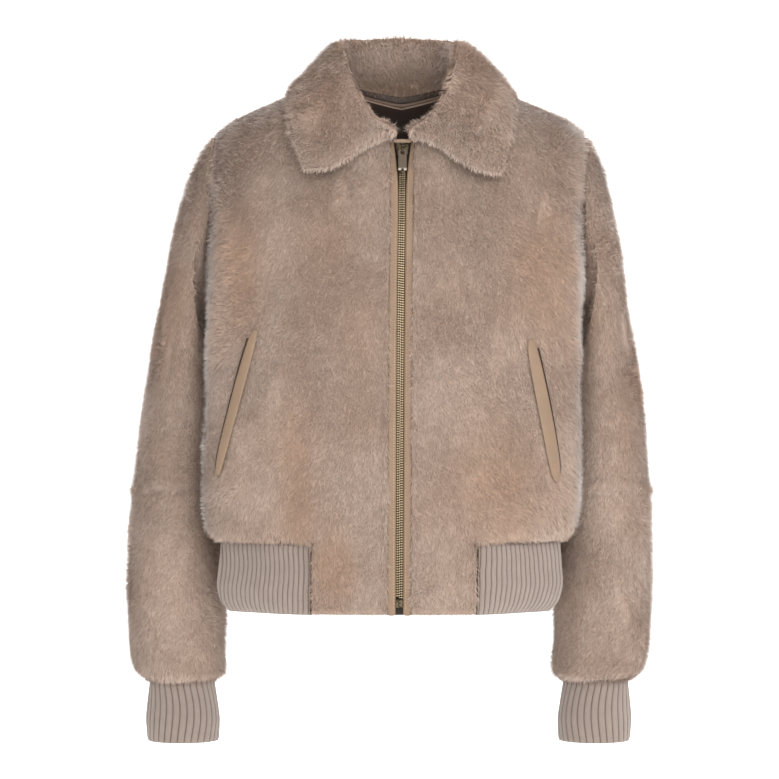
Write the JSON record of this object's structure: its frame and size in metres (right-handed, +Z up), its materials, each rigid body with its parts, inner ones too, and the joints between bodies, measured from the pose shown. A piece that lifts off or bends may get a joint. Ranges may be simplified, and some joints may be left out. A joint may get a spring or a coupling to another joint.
{
  "type": "shearling jacket",
  "caption": "Cropped fur-out shearling jacket with turn-down collar, front zip, slanted leather pocket welts and rib-knit hem and cuffs, filled out as if worn.",
  "frame": {"origin": "middle of the neck base, between the shoulders", "axes": "+Z up towards the collar, -Y to the wearer's front, +X to the wearer's left"},
  "size_m": [0.5662, 0.2638, 0.7598],
  "materials": {
    "shearling": "dense fur pile, fur side out",
    "rib_knit": "ribbed knit",
    "leather": "smooth matt leather",
    "zip_tape": "woven tape",
    "zip_metal": "aged brass"
  },
  "bodies": {
    "jacket": {"back_left": "shearling", "back_right": "shearling", "binding_left": "leather", "binding_right": "leather", "collar": "shearling", "cuff_left": "rib_knit", "cuff_right": "rib_knit", "front_left": "shearling", "front_right": "shearling", "hem_rib": "rib_knit", "neck_tape": "leather", "sleeve_lower_left": "shearling", "sleeve_lower_right": "shearling", "sleeve_upper_left": "shearling", "sleeve_upper_right": "shearling", "welt_left": "leather", "welt_right": "leather", "zip_box": "zip_metal", "zip_chain": "zip_metal", "zip_slider": "zip_metal", "zip_tape": "zip_tape"},
    "pull_tab": {"zip_pull": "zip_metal"}
  },
  "joints": [
    {"name": "pull_hinge", "type": "hinge", "parent": "jacket", "child": "pull_tab", "pos_m": [0.00236, -0.08857, -0.05366], "axis": [-1, 0, 0], "range_deg": [0, 105]}
  ]
}
